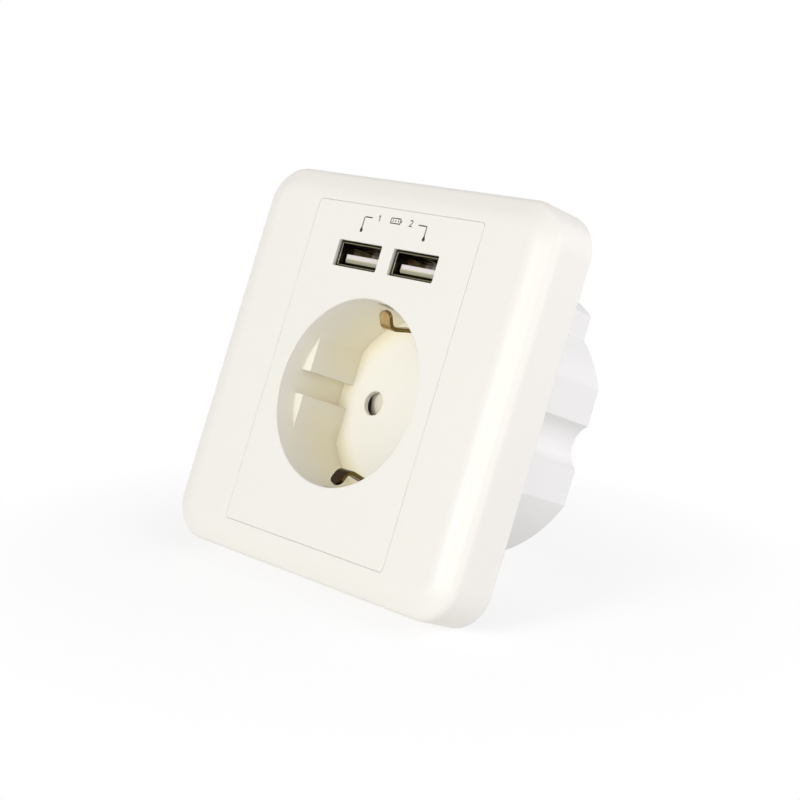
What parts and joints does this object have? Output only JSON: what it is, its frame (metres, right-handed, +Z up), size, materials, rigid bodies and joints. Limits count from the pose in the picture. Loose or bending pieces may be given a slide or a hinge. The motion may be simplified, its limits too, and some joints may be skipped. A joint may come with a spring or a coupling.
{
  "type": "usb wall socket",
  "caption": "White flush wall socket with an earthed round well, child shutter and two USB-A charging ports in a square frame.",
  "frame": {"origin": "middle of the two fixing slots, on the wall plane at the back of the mounting plate and the cover frame", "axes": "+X to the viewer's right, +Y into the wall, +Z up; the face looks along -Y"},
  "size_m": [0.086, 0.047, 0.086],
  "materials": {
    "face_plastic": "glossy warm white",
    "housing_plastic": "satin white",
    "shutter_plastic": "moulded warm white, dark round the pads",
    "base_plastic": "matt grey",
    "zinc_steel": "zinc plated",
    "spring_strip": "bright spring strip",
    "bronze_strip": "browned spring bronze",
    "contact_brass": "plain brass",
    "port_shell": "dull nickel plate",
    "tongue_plastic": "moulded, pinkish white",
    "gold": "gold plated",
    "board": "green lacquer",
    "black_plastic": "moulded black",
    "ferrite": "dark ferrite",
    "winding_tape": "yellow tape",
    "can": "sleeved can",
    "resistor_body": "cement coat",
    "disc_body": "dipped blue",
    "copper_winding": "enamelled copper"
  },
  "bodies": {
    "housing": {"cover_frame": "face_plastic", "socket_insert": "face_plastic", "mounting_plate": "zinc_steel", "rear_housing": "housing_plastic", "housing_screws": "zinc_steel", "contact_base": "base_plastic", "earth_strap": "bronze_strip", "earth_terminal": "contact_brass", "earth_rivet": "contact_brass", "line_contact": "contact_brass", "neutral_contact": "contact_brass", "usb_board": "board", "header_pins": "contact_brass", "header_spacer": "black_plastic", "power_board": "board", "transformer_core": "ferrite", "transformer_winding": "winding_tape", "input_capacitors": "can", "output_capacitors": "can", "rectifier": "black_plastic", "output_diode": "black_plastic", "controller_chip": "black_plastic", "fuse_resistor": "resistor_body", "safety_capacitor": "disc_body", "filter_choke": "copper_winding", "left_usb_shell": "port_shell", "left_usb_tongue": "tongue_plastic", "left_usb_contacts": "gold", "right_usb_shell": "port_shell", "right_usb_tongue": "tongue_plastic", "right_usb_contacts": "gold", "shutter_spring": "spring_strip"},
    "shutter": {"shutter": "shutter_plastic"},
    "line_screw": {"line_screw": "zinc_steel"},
    "line_cage": {"line_cage": "zinc_steel"},
    "earth_screw": {"earth_screw": "zinc_steel"},
    "earth_cage": {"earth_cage": "zinc_steel"},
    "neutral_screw": {"neutral_screw": "zinc_steel"},
    "neutral_cage": {"neutral_cage": "zinc_steel"}
  },
  "joints": [
    {"name": "shutter_slide", "type": "slide", "parent": "housing", "child": "shutter", "axis": [0, 0, 1], "range_m": [0, 0.0064], "stiffness_N_per_m": 60, "springref_m": -0.002, "deforming": ["shutter_spring"]},
    {"name": "line_screw_turn", "type": "hinge", "parent": "housing", "child": "line_screw", "pos_m": [-0.01, 0.0265, -0.0176], "axis": [0, -1, 0], "range_deg": [0, 1235]},
    {"name": "line_cage_slide", "type": "slide", "parent": "housing", "child": "line_cage", "axis": [0, 1, 0], "range_m": [0, 0.0024]},
    {"name": "earth_screw_turn", "type": "hinge", "parent": "housing", "child": "earth_screw", "pos_m": [0, 0.0265, -0.0176], "axis": [0, -1, 0], "range_deg": [0, 1235]},
    {"name": "earth_cage_slide", "type": "slide", "parent": "housing", "child": "earth_cage", "axis": [0, 1, 0], "range_m": [0, 0.0024]},
    {"name": "neutral_screw_turn", "type": "hinge", "parent": "housing", "child": "neutral_screw", "pos_m": [0.01, 0.0265, -0.0176], "axis": [0, -1, 0], "range_deg": [0, 1235]},
    {"name": "neutral_cage_slide", "type": "slide", "parent": "housing", "child": "neutral_cage", "axis": [0, 1, 0], "range_m": [0, 0.0024]}
  ],
  "couplings": [
    {"joint": "line_screw_turn", "follows": "line_cage_slide", "rad_per_m": 8976},
    {"joint": "earth_screw_turn", "follows": "earth_cage_slide", "rad_per_m": 8976},
    {"joint": "neutral_screw_turn", "follows": "neutral_cage_slide", "rad_per_m": 8976}
  ]
}
